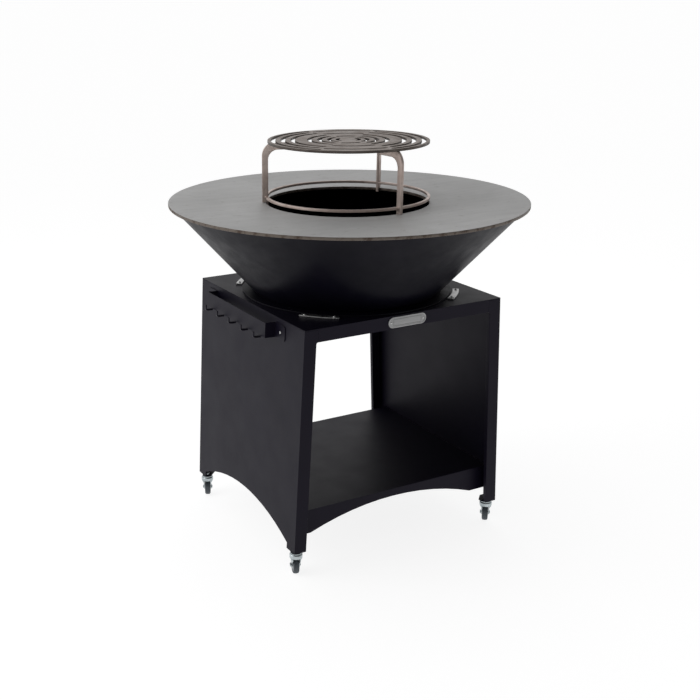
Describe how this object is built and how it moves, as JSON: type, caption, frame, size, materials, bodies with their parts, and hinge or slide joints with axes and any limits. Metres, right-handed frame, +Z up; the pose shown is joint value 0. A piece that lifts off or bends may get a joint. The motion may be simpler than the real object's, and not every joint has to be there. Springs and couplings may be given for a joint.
{
  "type": "fire pit with grate",
  "caption": "Wide steel bowl with a round griddle plate and a raised slotted grate, on a black sheet-steel stand with a shelf, a tool rack and swivel casters.",
  "frame": {"origin": "on the floor under the middle of the stand", "axes": "+Z up, -Y towards the front with the name plate, +X to the right when facing the front"},
  "size_m": [1, 1, 1.117],
  "materials": {
    "black_paint": "matt black powder coat, fine grain",
    "bowl_paint": "matt black heat-resistant paint",
    "griddle_steel": "bare mill-finish steel, cloudy",
    "grate_steel": "bare bead-blasted steel with a warm tint",
    "stainless": "brushed stainless steel",
    "zinc": "bright zinc plate",
    "tyre_rubber": "dark grey rubber tread",
    "hub_plastic": "grey moulded nylon"
  },
  "bodies": {
    "stand": {"top_panel": "black_paint", "left_side_panel": "black_paint", "right_side_panel": "black_paint", "shelf": "black_paint", "caster_plate_front_left": "black_paint", "caster_race_front_left": "zinc", "caster_plate_front_right": "black_paint", "caster_race_front_right": "zinc", "caster_plate_back_left": "black_paint", "caster_race_back_left": "zinc", "caster_plate_back_right": "black_paint", "caster_race_back_right": "zinc", "bowl_guide_back_right": "stainless", "guide_screw_back_right_1": "stainless", "guide_screw_back_right_2": "stainless", "bowl_guide_back_left": "stainless", "guide_screw_back_left_1": "stainless", "guide_screw_back_left_2": "stainless", "bowl_guide_front_left": "stainless", "guide_screw_front_left_1": "stainless", "guide_screw_front_left_2": "stainless", "bowl_guide_front_right": "stainless", "guide_screw_front_right_1": "stainless", "guide_screw_front_right_2": "stainless", "name_plate": "stainless", "name_plate_rivet_left": "stainless", "name_plate_rivet_right": "stainless", "tool_rack": "black_paint", "rack_screw_front": "stainless", "rack_screw_back": "stainless"},
    "bowl": {"fire_bowl": "bowl_paint", "bowl_base_plate": "bowl_paint"},
    "griddle": {"griddle_plate": "griddle_steel"},
    "grate": {"grate_disc": "grate_steel", "grate_ring": "grate_steel", "grate_leg_right": "grate_steel", "grate_leg_left": "grate_steel", "grate_leg_front": "grate_steel"},
    "fork_front_left": {"caster_fork_front_left": "zinc", "caster_axle_front_left": "zinc"},
    "wheel_front_left": {"caster_hub_front_left": "hub_plastic", "caster_tyre_front_left": "tyre_rubber"},
    "fork_front_right": {"caster_fork_front_right": "zinc", "caster_axle_front_right": "zinc"},
    "wheel_front_right": {"caster_hub_front_right": "hub_plastic", "caster_tyre_front_right": "tyre_rubber"},
    "fork_back_left": {"caster_fork_back_left": "zinc", "caster_axle_back_left": "zinc"},
    "wheel_back_left": {"caster_hub_back_left": "hub_plastic", "caster_tyre_back_left": "tyre_rubber"},
    "fork_back_right": {"caster_fork_back_right": "zinc", "caster_axle_back_right": "zinc"},
    "wheel_back_right": {"caster_hub_back_right": "hub_plastic", "caster_tyre_back_right": "tyre_rubber"}
  },
  "joints": [
    {"name": "bowl_lift", "type": "slide", "parent": "stand", "child": "bowl", "axis": [0, 0, 1], "range_m": [0, 0.25]},
    {"name": "griddle_lift", "type": "slide", "parent": "bowl", "child": "griddle", "axis": [0, 0, 1], "range_m": [0, 0.25]},
    {"name": "grate_lift", "type": "slide", "parent": "griddle", "child": "grate", "axis": [0, 0, 1], "range_m": [0, 0.25]},
    {"name": "swivel_front_left", "type": "hinge", "parent": "stand", "child": "fork_front_left", "pos_m": [-0.3301, -0.29228, 0.06], "axis": [0, 0, 1], "continuous": true},
    {"name": "roll_front_left", "type": "hinge", "parent": "fork_front_left", "child": "wheel_front_left", "pos_m": [-0.326, -0.281, 0.025], "axis": [0.9397, -0.342, 0], "continuous": true},
    {"name": "swivel_front_right", "type": "hinge", "parent": "stand", "child": "fork_front_right", "pos_m": [0.31861, -0.29046, 0.06], "axis": [0, 0, 1], "continuous": true},
    {"name": "roll_front_right", "type": "hinge", "parent": "fork_front_right", "child": "wheel_front_right", "pos_m": [0.326, -0.281, 0.025], "axis": [0.788, -0.6157, 0], "continuous": true},
    {"name": "swivel_back_left", "type": "hinge", "parent": "stand", "child": "fork_back_left", "pos_m": [-0.33145, 0.27031, 0.06], "axis": [0, 0, 1], "continuous": true},
    {"name": "roll_back_left", "type": "hinge", "parent": "fork_back_left", "child": "wheel_back_left", "pos_m": [-0.326, 0.281, 0.025], "axis": [0.891, -0.454, 0], "continuous": true},
    {"name": "swivel_back_right", "type": "hinge", "parent": "stand", "child": "fork_back_right", "pos_m": [0.31964, 0.27082, 0.06], "axis": [0, 0, 1], "continuous": true},
    {"name": "roll_back_right", "type": "hinge", "parent": "fork_back_right", "child": "wheel_back_right", "pos_m": [0.326, 0.281, 0.025], "axis": [0.848, -0.5299, 0], "continuous": true}
  ]
}
